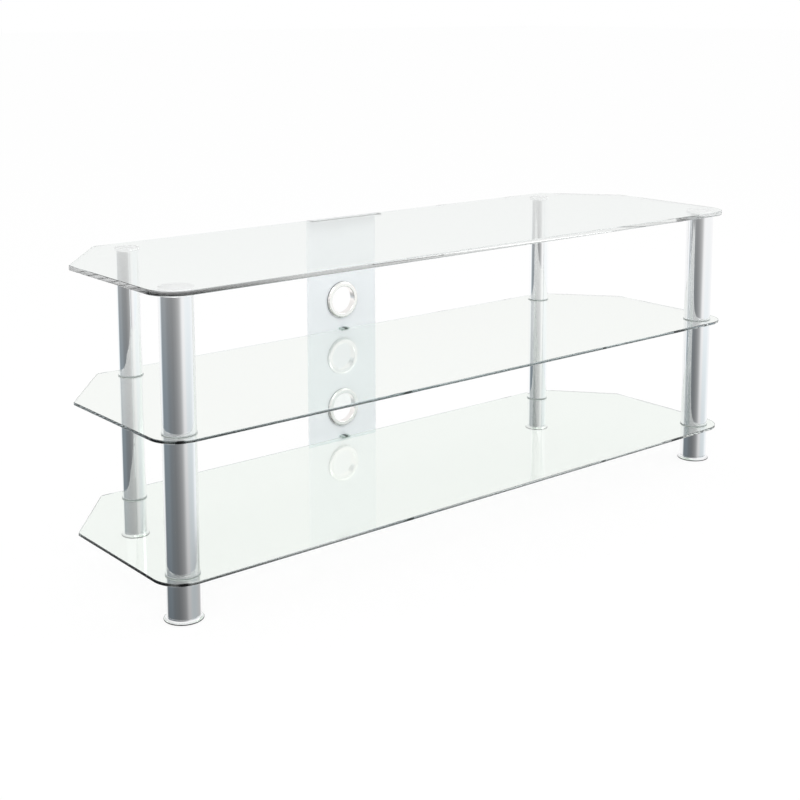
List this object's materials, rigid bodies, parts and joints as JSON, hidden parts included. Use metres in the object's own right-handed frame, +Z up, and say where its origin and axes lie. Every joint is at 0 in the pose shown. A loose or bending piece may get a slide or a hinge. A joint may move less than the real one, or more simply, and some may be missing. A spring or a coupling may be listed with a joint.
{
  "type": "tv stand",
  "caption": "Wide low television stand: clear glass shelves with cut rear corners on round chromed legs, with a pale metal cable panel and chromed cable rings at the back.",
  "frame": {"origin": "on the floor, under the centre of the whole stand's box", "axes": "+X to the right of someone facing the front, +Y to the back, +Z up"},
  "size_m": [1.25, 0.4314, 0.497],
  "materials": {
    "top_glass": "clear tempered glass, ground and polished edges",
    "shelf_glass": "clear tempered glass, ground and polished edges",
    "chromed_tube": "bright chrome plate",
    "chromed_disc": "bright chrome plate",
    "chromed_foot": "bright chrome plate",
    "chromed_ring": "bright chrome plate",
    "silver_panel": "satin pale silver paint",
    "plated_steel": "zinc plated, rolled threads",
    "clear_washer": "clear soft plastic",
    "moulded_plug": "black moulded plastic",
    "rubber_pad": "black rubber",
    "black_strip": "dark bonding strip",
    "grey_clip": "pale grey moulded plastic with a black upper lip"
  },
  "bodies": {
    "stand": {"top_glass": "top_glass", "middle_glass": "shelf_glass", "bottom_glass": "shelf_glass", "front_left_lower_tube": "chromed_tube", "front_left_middle_tube": "chromed_tube", "front_left_upper_tube": "chromed_tube", "front_left_tube_plugs": "moulded_plug", "front_left_joining_studs": "plated_steel", "front_left_glass_washers": "clear_washer", "front_left_top_disc": "chromed_disc", "rear_left_lower_tube": "chromed_tube", "rear_left_middle_tube": "chromed_tube", "rear_left_upper_tube": "chromed_tube", "rear_left_tube_plugs": "moulded_plug", "rear_left_joining_studs": "plated_steel", "rear_left_glass_washers": "clear_washer", "rear_left_top_disc": "chromed_disc", "front_right_lower_tube": "chromed_tube", "front_right_middle_tube": "chromed_tube", "front_right_upper_tube": "chromed_tube", "front_right_tube_plugs": "moulded_plug", "front_right_joining_studs": "plated_steel", "front_right_glass_washers": "clear_washer", "front_right_top_disc": "chromed_disc", "rear_right_lower_tube": "chromed_tube", "rear_right_middle_tube": "chromed_tube", "rear_right_upper_tube": "chromed_tube", "rear_right_tube_plugs": "moulded_plug", "rear_right_joining_studs": "plated_steel", "rear_right_glass_washers": "clear_washer", "rear_right_top_disc": "chromed_disc", "rear_panel": "silver_panel", "panel_bond_strip": "black_strip", "lower_cable_grommet": "chromed_ring", "upper_cable_grommet": "chromed_ring", "bottom_shelf_clip": "grey_clip", "middle_shelf_clip": "grey_clip", "clip_screws": "plated_steel"},
    "front_left_foot": {"front_left_foot_collar": "chromed_foot", "front_left_foot_pad": "rubber_pad", "front_left_foot_stem": "plated_steel"},
    "rear_left_foot": {"rear_left_foot_collar": "chromed_foot", "rear_left_foot_pad": "rubber_pad", "rear_left_foot_stem": "plated_steel"},
    "front_right_foot": {"front_right_foot_collar": "chromed_foot", "front_right_foot_pad": "rubber_pad", "front_right_foot_stem": "plated_steel"},
    "rear_right_foot": {"rear_right_foot_collar": "chromed_foot", "rear_right_foot_pad": "rubber_pad", "rear_right_foot_stem": "plated_steel"}
  },
  "joints": [
    {"name": "front_left_foot_screw", "type": "slide", "parent": "stand", "child": "front_left_foot", "axis": [0, 0, -1], "range_m": [0, 0.01]},
    {"name": "rear_left_foot_screw", "type": "slide", "parent": "stand", "child": "rear_left_foot", "axis": [0, 0, -1], "range_m": [0, 0.01]},
    {"name": "front_right_foot_screw", "type": "slide", "parent": "stand", "child": "front_right_foot", "axis": [0, 0, -1], "range_m": [0, 0.01]},
    {"name": "rear_right_foot_screw", "type": "slide", "parent": "stand", "child": "rear_right_foot", "axis": [0, 0, -1], "range_m": [0, 0.01]}
  ]
}
